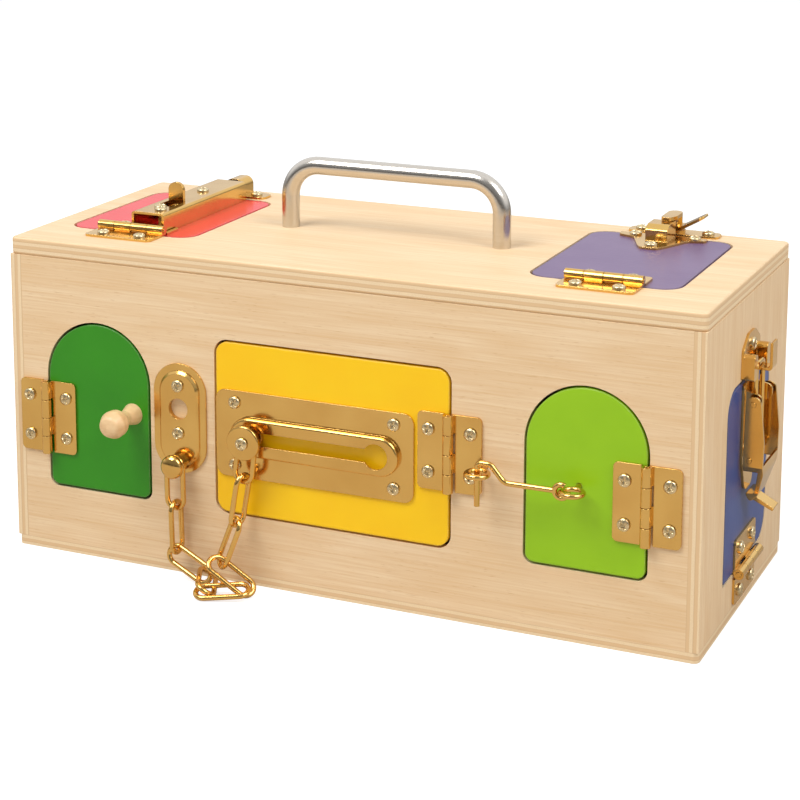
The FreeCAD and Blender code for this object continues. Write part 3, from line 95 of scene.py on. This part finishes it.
def birch(name, thick, grain):
    """Sanded birch ply: streaks run along one axis and layers lie across another."""
    made, tree, out, place = new_finish(name)
    across = [1 / STREAK] * 3
    across[grain] = 1 / STREAK_LONG
    stretched = add(tree, "Mapping", {"Vector": place.outputs["Object"], "Scale": across})
    streaks = add(tree, "TexNoise", {"Vector": stretched.outputs[0], "Scale": 1.0,
                                     "Detail": 5.0, "Roughness": 0.6})
    wide = [1 / FIGURE] * 3
    wide[grain] = FIGURE_DRAWN / FIGURE
    broad = add(tree, "Mapping", {"Vector": place.outputs["Object"], "Scale": wide})
    swirl = add(tree, "TexNoise", {"Vector": broad.outputs[0], "Scale": 0.55, "Detail": 2.0})
    rings = add(tree, "Math", {0: swirl.outputs[0], 1: 11.0}, operation="MULTIPLY")
    fold = add(tree, "Math", {0: rings.outputs[0], 1: 1.0}, operation="PINGPONG")
    figure = add(tree, "MapRange", {"Value": fold.outputs[0], "From Min": 0.0, "From Max": 1.0,
                                    "To Min": 0.0, "To Max": 0.42})
    tone = add(tree, "MapRange", {"Value": streaks.outputs[0], "From Min": 0.35,
                                  "From Max": 0.72, "To Min": 0.0, "To Max": 0.75})
    plain = add(tree, "Mix", {0: figure.outputs[0], 6: linear(VENEER), 7: linear(VENEER_DARK)},
                data_type="RGBA")
    grained = add(tree, "Mix", {0: tone.outputs[0], 6: plain.outputs[2],
                                7: linear(VENEER_DARK)}, data_type="RGBA")
    narrow = [1 / PORE] * 3
    narrow[grain] = 1 / PORE_LONG
    fine = add(tree, "Mapping", {"Vector": place.outputs["Object"], "Scale": narrow})
    pores = add(tree, "TexNoise", {"Vector": fine.outputs[0], "Scale": 1.0, "Detail": 1.0})
    pore = add(tree, "MapRange", {"Value": pores.outputs[0], "From Min": 0.68,
                                  "From Max": 0.78, "To Min": 0.0, "To Max": 0.5})
    face = add(tree, "Mix", {0: pore.outputs[0], 6: grained.outputs[2],
                             7: linear(VENEER_LINE)}, data_type="RGBA")
    # cut edge: light and dark veneers with a thin glue line where they meet
    parted = add(tree, "SeparateXYZ", {"Vector": place.outputs["Object"]})
    waver = add(tree, "TexNoise", {"Vector": place.outputs["Object"], "Scale": 90.0})
    drift = add(tree, "Math", {0: waver.outputs[0], 1: LAYER_DRIFT}, operation="MULTIPLY")
    level = add(tree, "Math", {0: parted.outputs[thick], 1: drift.outputs[0]}, operation="ADD")
    count = add(tree, "Math", {0: level.outputs[0], 1: LAYER}, operation="DIVIDE")
    layer = add(tree, "Math", {0: count.outputs[0]}, operation="FRACT")
    dark = add(tree, "MapRange", {"Value": layer.outputs[0], "From Min": 0.47,
                                  "From Max": 0.53})
    plies = add(tree, "Mix", {0: dark.outputs[0], 6: linear(PLY_LIGHT), 7: linear(PLY_DARK)},
                data_type="RGBA")
    seam = add(tree, "Math", {0: layer.outputs[0], 1: 0.5, 2: 0.06}, operation="COMPARE")
    seam_soft = add(tree, "Math", {0: seam.outputs[0], 1: 0.55}, operation="MULTIPLY")
    glued = add(tree, "Mix", {0: seam_soft.outputs[0], 6: plies.outputs[2], 7: linear(GLUE)},
                data_type="RGBA")
    fibres = add(tree, "TexNoise", {"Vector": place.outputs["Object"], "Scale": 1400.0,
                                    "Detail": 2.0})
    fibre = add(tree, "MapRange", {"Value": fibres.outputs[0], "From Min": 0.4,
                                   "From Max": 0.7, "To Min": 0.0, "To Max": 0.35})
    edge = add(tree, "Mix", {0: fibre.outputs[0], 6: glued.outputs[2], 7: linear(PLY_DARK)},
               data_type="RGBA")
    facing = add(tree, "SeparateXYZ", {"Vector": place.outputs["Normal"]})
    square = add(tree, "Math", {0: facing.outputs[thick]}, operation="ABSOLUTE")
    is_face = add(tree, "MapRange", {"Value": square.outputs[0], "From Min": 0.6,
                                     "From Max": 0.8})
    colour = add(tree, "Mix", {0: is_face.outputs[0], 6: edge.outputs[2], 7: face.outputs[2]},
                 data_type="RGBA")
    bump = add(tree, "Bump", {"Height": streaks.outputs[0], "Strength": 0.35,
                              "Distance": 0.0002})
    rough = add(tree, "MapRange", {"Value": streaks.outputs[0], "To Min": 0.48,
                                   "To Max": 0.62})
    shade = add(tree, "BsdfPrincipled", {"Base Color": colour.outputs[2],
                                         "Roughness": rough.outputs[0],
                                         "Normal": bump.outputs[0], "IOR": 1.5})
    tree.links.new(shade.outputs[0], out.inputs["Surface"])
    return made


wear(birch("birch_ply_level", 2, 0), "top_panel", "bottom_panel")
wear(birch("birch_ply_front", 1, 0), "front_panel", "back_panel", "door_stops")
wear(birch("birch_ply_end", 0, 2), "left_panel", "right_panel")


# Carrying handle: one rod of stainless steel, bent twice and brushed to a satin finish, with a
# machine screw in each leg from under the top board.

STEEL, STEEL_DARK = "#e2ddd6", "#c6bfb5"
BRUSH, BRUSH_LONG = 0.0005, 0.02        # a brush mark's width and length

made, tree, out, place = new_finish("satin_stainless_steel")
around = add(tree, "Mapping", {"Vector": place.outputs["Object"],
                               "Scale": [1 / BRUSH_LONG, 1 / BRUSH, 1 / BRUSH]})
marks = add(tree, "TexNoise", {"Vector": around.outputs[0], "Scale": 1.0, "Detail": 4.0})
cloud = add(tree, "TexNoise", {"Vector": place.outputs["Object"], "Scale": 60.0})
tone = add(tree, "Mix", {0: marks.outputs[0], 6: linear(STEEL), 7: linear(STEEL_DARK)},
           data_type="RGBA")
rough = add(tree, "MapRange", {"Value": cloud.outputs[0], "To Min": 0.15, "To Max": 0.26})
bump = add(tree, "Bump", {"Height": marks.outputs[0], "Strength": 0.12, "Distance": 0.0001})
shade = add(tree, "BsdfPrincipled", {"Base Color": tone.outputs[2], "Metallic": 1.0,
                                     "Roughness": rough.outputs[0],
                                     "Normal": bump.outputs[0]})
tree.links.new(shade.outputs[0], out.inputs["Surface"])
wear(made, "carry_handle", "handle_screws")


# Hinges, plates and wire of the locks: thin sheet and wire of brass-plated steel, stamped or
# bent, then polished. Fine rubbing marks and slight tarnish keep the shine uneven.

BRASS, BRASS_DEEP = "#e6bd70", "#d5a75c"
ROUNDING = 0.00035                      # edges of stamped sheet, rounded by tumbling
MARK, MARK_LONG, WIRE_MARK = 1 / 1500, 1 / 60, 1 / 300
TARNISH = 1 / 42                        # width of a cloud of tarnish


def brass(name, mark, smooth, rubbed):
    """Polished brass plate, with the size of its rubbing marks along each axis."""
    made, tree, out, place = new_finish(name)
    along = add(tree, "Mapping", {"Vector": place.outputs["Object"],
                                  "Scale": [1 / side for side in mark]})
    marks = add(tree, "TexNoise", {"Vector": along.outputs[0], "Scale": 1.0, "Detail": 4.0,
                                   "Roughness": 0.65})
    cloud = add(tree, "TexNoise", {"Vector": place.outputs["Object"], "Scale": 1 / TARNISH,
                                   "Detail": 2.0})
    mix = add(tree, "MapRange", {"Value": cloud.outputs[0], "From Min": 0.3,
                                 "From Max": 0.75, "To Max": 0.7})
    tone = add(tree, "Mix", {0: mix.outputs[0], 6: linear(BRASS), 7: linear(BRASS_DEEP)},
               data_type="RGBA")
    uneven = add(tree, "Math", {0: marks.outputs[0], 1: cloud.outputs[0]},
                 operation="MULTIPLY")
    rough = add(tree, "MapRange", {"Value": uneven.outputs[0], "From Min": 0.15,
                                   "From Max": 0.4, "To Min": smooth, "To Max": rubbed})
    soft = add(tree, "Bevel", {"Radius": ROUNDING}, samples=4)
    bump = add(tree, "Bump", {"Height": marks.outputs[0], "Strength": 0.1,
                              "Distance": 0.0001, "Normal": soft.outputs[0]})
    shade = add(tree, "BsdfPrincipled", {"Base Color": tone.outputs[2], "Metallic": 1.0,
                                         "Roughness": rough.outputs[0],
                                         "Normal": bump.outputs[0]})
    tree.links.new(shade.outputs[0], out.inputs["Surface"])
    return made


front_brass = brass("brass_plate_front", [MARK_LONG, MARK_LONG, MARK], 0.15, 0.22)
top_brass = brass("brass_plate_top", [MARK_LONG, MARK, MARK_LONG], 0.13, 0.2)
side_brass = brass("brass_plate_side", [MARK_LONG, MARK_LONG, MARK], 0.13, 0.2)
wire_brass = brass("brass_wire", [WIRE_MARK] * 3, 0.08, 0.18)
for colour in ("green", "yellow", "lime"):
    wear(front_brass, colour + "_door_leaf", colour + "_frame_leaf")
for colour in ("red", "purple"):
    wear(top_brass, colour + "_door_leaf", colour + "_frame_leaf")
wear(side_brass, "blue_door_leaf", "blue_frame_leaf")
wear(wire_brass, "hinge_pins")


# Painted doors: boards of the same ply with a rounded edge, sealed and sprayed with two coats
# of satin enamel. Grain telegraphs through a little. The rounded edges carry a painted
# highlight, paler in grain streaks where the paint is rubbed thin.

HIGHLIGHT_AND_SEALER = "#f3e6cf"                      # pale edge colour: painted highlight on the rounded edges, and sealer where the paint is rubbed thin
PAINT_EDGE = 0.0012                     # rounding of a door's edges
GRAIN_WIDE, GRAIN_LONG = 1 / 900, 1 / 22
PEEL, PAINT_CLOUD = 1 / 420, 1 / 26     # width of the spray's texture and of its clouds


def enamel(name, colour, deep, shine, grain):
    """Sprayed enamel on ply: cloudy colour, faint grain and a painted highlight that makes the
    edges a little paler.
    """
    made, tree, out, place = new_finish(name)
    stretch = [1 / GRAIN_WIDE] * 3
    stretch[grain] = 1 / GRAIN_LONG
    along = add(tree, "Mapping", {"Vector": place.outputs["Object"], "Scale": stretch})
    streaks = add(tree, "TexNoise", {"Vector": along.outputs[0], "Scale": 1.0, "Detail": 3.0})
    peel = add(tree, "TexNoise", {"Vector": place.outputs["Object"], "Scale": 1 / PEEL,
                                  "Detail": 1.0})
    cloud = add(tree, "TexNoise", {"Vector": place.outputs["Object"],
                                   "Scale": 1 / PAINT_CLOUD, "Detail": 4.0})
    mix = add(tree, "MapRange", {"Value": cloud.outputs[0], "From Min": 0.3, "From Max": 0.75,
                                 "To Max": 0.8})
    tone = add(tree, "Mix", {0: mix.outputs[0], 6: linear(colour), 7: linear(deep)},
               data_type="RGBA")
    soft = add(tree, "Bevel", {"Radius": PAINT_EDGE}, samples=4)
    true = add(tree, "NewGeometry", {})
    turned = add(tree, "VectorMath", {0: soft.outputs[0], 1: true.outputs["True Normal"]},
                 operation="DOT_PRODUCT")
    # painted highlight: the band where the rounded edge turns is mixed toward the pale colour,
    # in grain streaks like rubbed paint
    highlight_rim = add(tree, "MapRange", {"Value": turned.outputs["Value"], "From Min": 0.98,
                                 "From Max": 0.8, "To Min": 0.0, "To Max": 0.3})
    highlight_and_scuffs = add(tree, "Math", {0: highlight_rim.outputs[0], 1: streaks.outputs[0]},
                  operation="MULTIPLY")
    highlighted_and_worn = add(tree, "Mix", {0: highlight_and_scuffs.outputs[0], 6: tone.outputs[2], 7: linear(HIGHLIGHT_AND_SEALER)},
               data_type="RGBA")
    ground = add(tree, "Math", {0: streaks.outputs[0], 1: peel.outputs[0]}, operation="ADD")
    bump = add(tree, "Bump", {"Height": ground.outputs[0], "Strength": 0.22,
                              "Distance": 0.00018, "Normal": soft.outputs[0]})
    rough = add(tree, "MapRange", {"Value": cloud.outputs[0], "To Min": shine - 0.04,
                                   "To Max": shine + 0.08})
    shade = add(tree, "BsdfPrincipled", {"Base Color": highlighted_and_worn.outputs[2], "IOR": 1.45,
                                         "Roughness": rough.outputs[0],
                                         "Normal": bump.outputs[0]})
    tree.links.new(shade.outputs[0], out.inputs["Surface"])
    return made


wear(enamel("green_enamel", "#2f8f10", "#28820e", 0.34, 0), "green_door")
wear(enamel("yellow_enamel", "#ffd00a", "#fdc405", 0.34, 0), "yellow_door")
wear(enamel("lime_enamel", "#9acd16", "#8cc010", 0.34, 0), "lime_door")
wear(enamel("red_enamel", "#ec3038", "#e02832", 0.2, 0), "red_door")
wear(enamel("purple_enamel", "#745b84", "#67507a", 0.3, 0), "purple_door")
wear(enamel("blue_enamel", "#2a4b92", "#244184", 0.34, 2), "blue_door")


# Screws: round-headed wood screws of steel plated to a pale brass, cold headed, with a cross
# recess. Each stands in its pilot hole and clamps a leaf or a plate.

PLATING, PLATING_DULL = "#ecdcb8", "#cdb686"
HEAD, CROWN, SHANK, TIP = 0.0031, 0.0019, 0.0012, 0.0012
HEAD_WALL = 0.35                        # share of the crown that stands straight
RECESS_ARM, RECESS_HALF, RECESS_DEEP = 0.0021, 0.00045, 0.0011
RECESS_SOFT, RECESS_FALL = 0.00022, 0.75
AROUND, RINGS = 72, 26
FIRST_TURN, NEXT_TURN = 0.3, 0.65       # each recess is left at another angle
FACES = ((1, -1, 0.0752), (2, 1, 0.1602), (0, 1, 0.1777))     # axis, sign, level just outside


def screw_places(name):
    """Each screw's head centre, outward axis, sign and reach, read from the CAD node.

    The vertices above one face of the case that lie within a head's width of each other,
    seen along that face's normal, belong to one screw.
    """
    mesh = nodes[name].data
    points = np.empty(len(mesh.vertices) * 3)
    mesh.vertices.foreach_get("co", points)
    points = points.reshape(-1, 3)
    found = []
    for axis, sign, level in FACES:
        above = points[points[:, axis] * sign > level]
        while len(above):
            flat = np.delete(above - above[0], axis, 1)
            near = np.hypot(flat[:, 0], flat[:, 1]) < 2.2 * HEAD
            group = above[near]
            above = above[~near]
            centre = (group.min(0) + group.max(0)) / 2
            centre[axis] = sign * ((group[:, axis] * sign).max() - CROWN)
            beside = np.delete(points - centre, axis, 1)
            column = points[np.hypot(beside[:, 0], beside[:, 1]) < 1.2 * HEAD]
            reach = sign * centre[axis] - (column[:, axis] * sign).min()
            found.append((centre, axis, sign, reach))
    return found


def shell(name, patches, material, smooth=math.radians(40)):
    """One closed mesh from grids whose columns run round; equal points are merged."""
    points, faces, start = [], [], 0
    for patch in patches:
        rows, columns = patch.shape[:2]
        ids = start + np.arange(rows * columns).reshape(rows, columns)
        after = np.roll(ids, -1, 1)
        quads = np.stack([ids[:-1], after[:-1], after[1:], ids[1:]], -1)
        points.append(patch.reshape(-1, 3))
        faces.append(quads.reshape(-1, 4))
        start += rows * columns
    mesh = bpy.data.meshes.new(name)
    mesh.from_pydata(np.concatenate(points).tolist(), [], np.concatenate(faces).tolist())
    work = bmesh.new()
    work.from_mesh(mesh)
    bmesh.ops.remove_doubles(work, verts=work.verts, dist=1e-7)
    bmesh.ops.recalc_face_normals(work, faces=work.faces)
    work.to_mesh(mesh)
    work.free()
    mesh.shade_smooth()
    mesh.set_sharp_from_angle(angle=smooth)
    mesh.materials.append(material)
    made = bpy.data.objects.new(name, mesh)
    bpy.context.scene.collection.objects.link(made)
    return made


def cross_screw(centre, axis, sign, reach, turn):
    """A screw as a profile turned once round its axis.

    Over the head the height is a half ellipse, less a cross recess: full depth within the
    arms' half width, falling in a straight line from the middle to the arms' ends.
    """
    radii = np.concatenate([[0, SHANK * 0.4, SHANK, SHANK, HEAD, HEAD],
                            HEAD * np.linspace(1, 0, RINGS)[1:]])
    sides = [-reach, -reach, TIP - reach, 0, 0, CROWN * HEAD_WALL]
    heights = np.concatenate([sides, np.zeros(RINGS - 1)])
    dome = np.arange(len(radii)) >= len(sides)
    angle = np.linspace(0, 2 * math.pi, AROUND, endpoint=False)
    first = radii[:, None] * np.cos(angle)
    second = radii[:, None] * np.sin(angle)
    share = np.clip(1 - (radii / HEAD) ** 2, 0, 1) ** 0.5
    height = heights + dome * CROWN * (HEAD_WALL + (1 - HEAD_WALL) * share)
    along = np.maximum(np.abs(first), np.abs(second))
    aside = np.minimum(np.abs(first), np.abs(second))
    inside = (np.clip((RECESS_HALF - aside) / RECESS_SOFT + 0.5, 0, 1)
              * np.clip((RECESS_ARM - along) / RECESS_SOFT + 0.5, 0, 1))
    deep = RECESS_DEEP * (1 - RECESS_FALL * along / RECESS_ARM) * inside * dome[:, None]
    up = height[:, None] - deep
    cos, sin = math.cos(turn), math.sin(turn)
    grid = np.empty(up.shape + (3,))
    grid[..., axis] = sign * up
    grid[..., (axis + 1) % 3] = first * cos - second * sin
    grid[..., (axis + 2) % 3] = first * sin + second * cos
    return grid + centre


made, tree, out, place = new_finish("pale_brass_plated_steel")
cloud = add(tree, "TexNoise", {"Vector": place.outputs["Object"], "Scale": 500.0,
                               "Detail": 3.0})
tone = add(tree, "Mix", {0: cloud.outputs[0], 6: linear(PLATING), 7: linear(PLATING_DULL)},
           data_type="RGBA")
rough = add(tree, "MapRange", {"Value": cloud.outputs[0], "To Min": 0.18, "To Max": 0.4})
bump = add(tree, "Bump", {"Height": cloud.outputs[0], "Strength": 0.12, "Distance": 0.0001})
shade = add(tree, "BsdfPrincipled", {"Base Color": tone.outputs[2], "Metallic": 1.0,
                                     "Roughness": rough.outputs[0],
                                     "Normal": bump.outputs[0]})
tree.links.new(shade.outputs[0], out.inputs["Surface"])
plated_screw = made

for owner, body in (("box", "box_body"), ("green", "green_door_body"),
                    ("yellow", "yellow_door_body"), ("lime", "lime_door_body"),
                    ("red", "red_lid_body"), ("purple", "purple_lid_body"),
                    ("blue", "blue_door_body")):
    patches = [cross_screw(*at, turn=NEXT_TURN * number + FIRST_TURN)
               for number, at in enumerate(screw_places(owner + "_screws"))]
    heads = shell(owner + "_cross_screws", patches, plated_screw)
    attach(heads, body)
    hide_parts(owner + "_screws")
wear(plated_screw, "green_strike")


# Knob of the green door: turned from a pale close-grained wood between centres, sanded and
# left clear. Its rings show as stripes down the sides and a target at the end.

MAPLE, MAPLE_DARK = "#ecca9b", "#dcb381"
RING = (1 / 160, 1 / 12, 1 / 420)       # size of the rings' bands along each axis

made, tree, out, place = new_finish("turned_maple")
ring = add(tree, "Mapping", {"Vector": place.outputs["Object"],
                             "Scale": [1 / side for side in RING]})
grain = add(tree, "TexNoise", {"Vector": ring.outputs[0], "Scale": 1.0, "Detail": 2.0})
pores = add(tree, "TexNoise", {"Vector": place.outputs["Object"], "Scale": 1500.0})
mix = add(tree, "MapRange", {"Value": grain.outputs[0], "From Min": 0.35, "From Max": 0.7})
tone = add(tree, "Mix", {0: mix.outputs[0], 6: linear(MAPLE), 7: linear(MAPLE_DARK)},
           data_type="RGBA")
bump = add(tree, "Bump", {"Height": pores.outputs[0], "Strength": 0.15, "Distance": 0.0001})
shade = add(tree, "BsdfPrincipled", {"Base Color": tone.outputs[2], "Roughness": 0.42,
                                     "Coat Weight": 0.25, "Coat Roughness": 0.3,
                                     "Normal": bump.outputs[0]})
tree.links.new(shade.outputs[0], out.inputs["Surface"])
wear(made, "green_knob")


# Magnet block behind the green door: pressed ferrite, dark grey and matt, glued to the frame.

FERRITE, FERRITE_GRIT = "#2b2b2d", "#4a4a4c"

made, tree, out, place = new_finish("pressed_ferrite")
grit = add(tree, "TexNoise", {"Vector": place.outputs["Object"], "Scale": 1800.0,
                              "Detail": 2.0})
tone = add(tree, "Mix", {0: grit.outputs[0], 6: linear(FERRITE), 7: linear(FERRITE_GRIT)},
           data_type="RGBA")
bump = add(tree, "Bump", {"Height": grit.outputs[0], "Strength": 0.3, "Distance": 0.0002})
shade = add(tree, "BsdfPrincipled", {"Base Color": tone.outputs[2], "Roughness": 0.7,
                                     "Normal": bump.outputs[0]})
tree.links.new(shade.outputs[0], out.inputs["Surface"])
wear(made, "magnet_catch")


# Locks: chain on its anchor plate and track, hook and eyes, slide bolt and strap, cam latch
# and keeper, draw latch with its wire bail. All are polished brass plate or wire.

wear(front_brass, "anchor_plate", "track_plate")
wear(wire_brass, "track_button", "chain_anchor_links", "chain_button_links", "frame_eye",
     "door_eye", "door_hook", "latch_bail")
wear(top_brass, "bolt_housing", "bolt_keeper", "cam_base", "cam_keeper")
wear(wire_brass, "slide_bolt", "turn_cam")
wear(side_brass, "latch_base", "latch_lever", "latch_strike")

SHAFT, FOOT, NECK, BUTTON = 0.0012, 0.0044, 0.0024, 0.0058      # radii of the stud
FOOT_HIGH, NECK_LONG, RIM_HIGH, DOME_HIGH = 0.0026, 0.0033, 0.0012, 0.003
BUTTON_HOLD, BUTTON_TURN = 0.002, 0.5   # the button screw's reach, and its recess's angle

# the stud is one profile turned round its axis: shaft, foot, neck and a half-ellipse dome
low_corner, high_corner = (np.array(corner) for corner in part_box("anchor_stud"))
bulge = np.linspace(0, math.pi / 2, RINGS)
under = low_corner[1] + RIM_HIGH + DOME_HIGH
radii = np.concatenate([[0, SHAFT, SHAFT, FOOT, FOOT, NECK, NECK, BUTTON],
                        BUTTON * np.cos(bulge)])
heights = np.concatenate([[under - high_corner[1]] * 2, [-NECK_LONG - FOOT_HIGH] * 2,
                          [-NECK_LONG] * 2, [0, 0], RIM_HIGH + DOME_HIGH * np.sin(bulge)])
angle = np.linspace(0, 2 * math.pi, AROUND, endpoint=False)
middle = (low_corner + high_corner) / 2
turned = np.stack([middle[0] + radii[:, None] * np.cos(angle),
                   np.broadcast_to((under - heights)[:, None], (len(radii), AROUND)),
                   middle[2] + radii[:, None] * np.sin(angle)], -1)
stud = shell("anchor_turned_stud", [turned], wire_brass)
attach(stud, "box_body")
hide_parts("anchor_stud")

low_corner, high_corner = (np.array(corner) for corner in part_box("track_button"))
disc = (low_corner + high_corner) / 2
disc[1] = low_corner[1]
button_screw = shell("button_cross_screw",
                     [cross_screw(disc, 1, -1, BUTTON_HOLD, BUTTON_TURN)], plated_screw)
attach(button_screw, "button_body")


# Setting: a white table and room, one large soft lamp high at the left and a weaker one at
# the right. The floor keeps the box's shadow.

TABLE, TABLE_LEVEL = 4.0, -0.0002       # the table's half width, just under the box
LAMP_AIM = 0.08                         # height that the lamps point at

floor_mesh = bpy.data.meshes.new("table_top")
floor_mesh.from_pydata([(-TABLE, -TABLE, TABLE_LEVEL), (TABLE, -TABLE, TABLE_LEVEL),
                        (TABLE, TABLE, TABLE_LEVEL), (-TABLE, TABLE, TABLE_LEVEL)], [],
                       [(0, 1, 2, 3)])
floor = bpy.data.objects.new("table_top", floor_mesh)
bpy.context.scene.collection.objects.link(floor)
made, tree, out, place = new_finish("white_table")
path = add(tree, "LightPath", {})
seen = add(tree, "Math", {0: path.outputs["Is Camera Ray"],
                          1: path.outputs["Is Transmission Ray"]}, operation="MAXIMUM")
glow = add(tree, "Emission", {"Color": [0.72, 0.72, 0.72, 1.0], "Strength": 1.0})
matt = add(tree, "BsdfDiffuse", {"Color": [0.5, 0.5, 0.5, 1.0]})
shown = add(tree, "AddShader", {0: glow.outputs[0], 1: matt.outputs[0]})
bounce = add(tree, "BsdfDiffuse", {"Color": [0.58, 0.52, 0.45, 1.0]})
pick = add(tree, "MixShader", {0: seen.outputs[0], 1: bounce.outputs[0],
                               2: shown.outputs[0]})
tree.links.new(pick.outputs[0], out.inputs["Surface"])
floor_mesh.materials.append(made)

world = bpy.data.worlds.new("white_room")
world.use_nodes = True
tree = world.node_tree
tree.nodes.clear()
out = add(tree, "OutputWorld", {})
path = add(tree, "LightPath", {})
toward = add(tree, "TexCoord", {})
way = add(tree, "SeparateXYZ", {"Vector": toward.outputs["Generated"]})
dim = add(tree, "MapRange", {"Value": way.outputs["Y"], "From Min": -0.85, "From Max": 0.05,
                             "To Min": 0.27, "To Max": 1.0}, interpolation_type="SMOOTHSTEP")
low = add(tree, "MapRange", {"Value": way.outputs["Z"], "From Min": -0.05, "From Max": 0.3,
                             "To Min": 0.32, "To Max": 1.0}, interpolation_type="SMOOTHSTEP")
graded = add(tree, "Math", {0: dim.outputs[0], 1: low.outputs[0]}, operation="MULTIPLY")
clear = add(tree, "Math", {0: path.outputs["Is Camera Ray"],
                           1: path.outputs["Is Transmission Ray"]}, operation="MAXIMUM")
lit = add(tree, "Mix", {0: path.outputs["Is Glossy Ray"], 6: [0.46, 0.465, 0.475, 1.0],
                        7: graded.outputs[0]}, data_type="RGBA")
room = add(tree, "Mix", {0: clear.outputs[0], 6: lit.outputs[2], 7: [1.0, 1.0, 1.0, 1.0]},
           data_type="RGBA")
sky = add(tree, "Background", {"Color": room.outputs[2], "Strength": 1.0})
tree.links.new(sky.outputs[0], out.inputs["Surface"])
bpy.context.scene.world = world

for name, spot, size, power in (("lamp_left", (-0.6, -1.0, 1.7), 1.0, 26.0),
                                ("lamp_right", (1.3, -0.4, 1.5), 0.9, 17.0)):
    light = bpy.data.lights.new(name, "AREA")
    light.energy = power
    light.size = size
    lamp = bpy.data.objects.new(name, light)
    lamp.location = spot
    away = np.array(spot) - (0.0, 0.0, LAMP_AIM)
    lamp.rotation_euler = (math.acos(away[2] / np.linalg.norm(away)), 0.0,
                           math.atan2(away[1], away[0]) + math.pi / 2)
    bpy.context.scene.collection.objects.link(lamp)

view = bpy.data.cameras.new("camera")
view.lens = 94.76
view.sensor_width = 36.0
view.shift_x = 0.0415
view.shift_y = -0.3284
camera = bpy.data.objects.new("camera", view)
camera.location = (0.40497, -0.93049, 0.39574)
camera.rotation_euler = (math.radians(79.682), 0.0, math.radians(24.398))
bpy.context.scene.collection.objects.link(camera)
bpy.context.scene.camera = camera
bpy.context.scene.view_settings.view_transform = "Standard"
